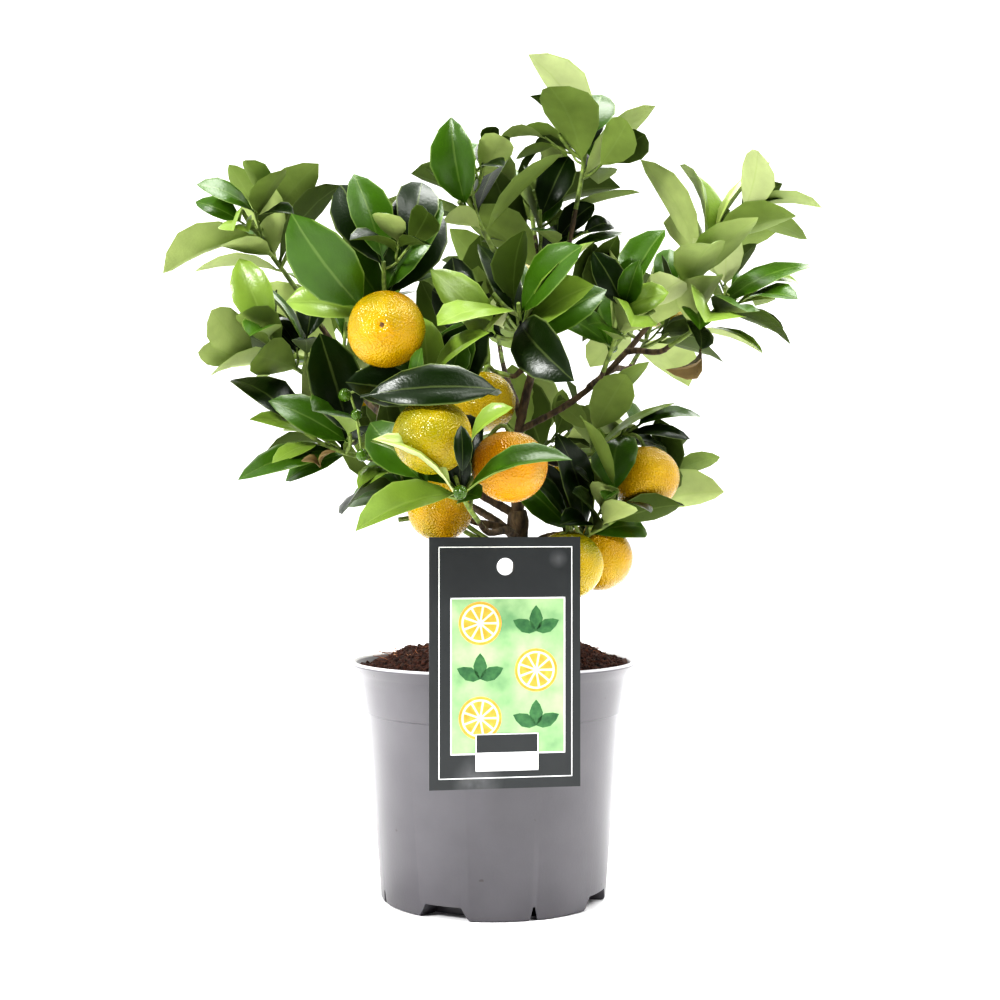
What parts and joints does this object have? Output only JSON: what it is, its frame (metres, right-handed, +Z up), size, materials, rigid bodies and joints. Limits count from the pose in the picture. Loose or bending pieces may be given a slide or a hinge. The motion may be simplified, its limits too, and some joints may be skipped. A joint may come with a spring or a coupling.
{
  "type": "calamondin orange tree in a nursery pot",
  "caption": "Young citrus tree with ripe orange fruit, in a round tapered nursery pot with a plain hang label on its rim.",
  "frame": {"origin": "centre of the pot's flat underside, where the plant stands", "axes": "+Z up along the pot's axis, -Y the front that the label faces, +X to the right of the front"},
  "size_m": [0.347, 0.2938, 0.446],
  "materials": {
    "pot": "satin grey plastic",
    "peat": "loose dark peat",
    "label": "printed card, satin",
    "trunk": "bark",
    "bough": "green-brown bark",
    "foliage": "glossy leaves, with orange fruit"
  },
  "bodies": {
    "root": {"bough_back_centre": "bough", "bough_back_foot": "bough", "bough_back_left": "bough", "bough_back_low": "bough", "bough_back_right": "bough", "bough_back_top": "bough", "bough_centre": "bough", "bough_centre_low": "bough", "bough_centre_upper": "bough", "bough_crest_left": "bough", "bough_front_foot": "bough", "bough_inner": "bough", "bough_left_crest": "bough", "bough_left_flank": "bough", "bough_left_foot": "bough", "bough_left_front": "bough", "bough_low_left": "bough", "bough_right_crest": "bough", "bough_right_flank": "bough", "bough_right_foot": "bough", "bough_right_inner": "bough", "bough_right_low": "bough", "bough_right_side": "bough", "bough_top": "bough", "foliage_back_centre": "foliage", "foliage_back_foot": "foliage", "foliage_back_left": "foliage", "foliage_back_low": "foliage", "foliage_back_right": "foliage", "foliage_back_top": "foliage", "foliage_centre": "foliage", "foliage_centre_low": "foliage", "foliage_centre_upper": "foliage", "foliage_crest_left": "foliage", "foliage_front_foot": "foliage", "foliage_inner": "foliage", "foliage_left_crest": "foliage", "foliage_left_flank": "foliage", "foliage_left_foot": "foliage", "foliage_left_front": "foliage", "foliage_low_left": "foliage", "foliage_right_crest": "foliage", "foliage_right_flank": "foliage", "foliage_right_foot": "foliage", "foliage_right_inner": "foliage", "foliage_right_low": "foliage", "foliage_right_side": "foliage", "foliage_top": "foliage", "label": "label", "peat": "peat", "pot": "pot", "trunk": "trunk"}
  },
  "joints": []
}
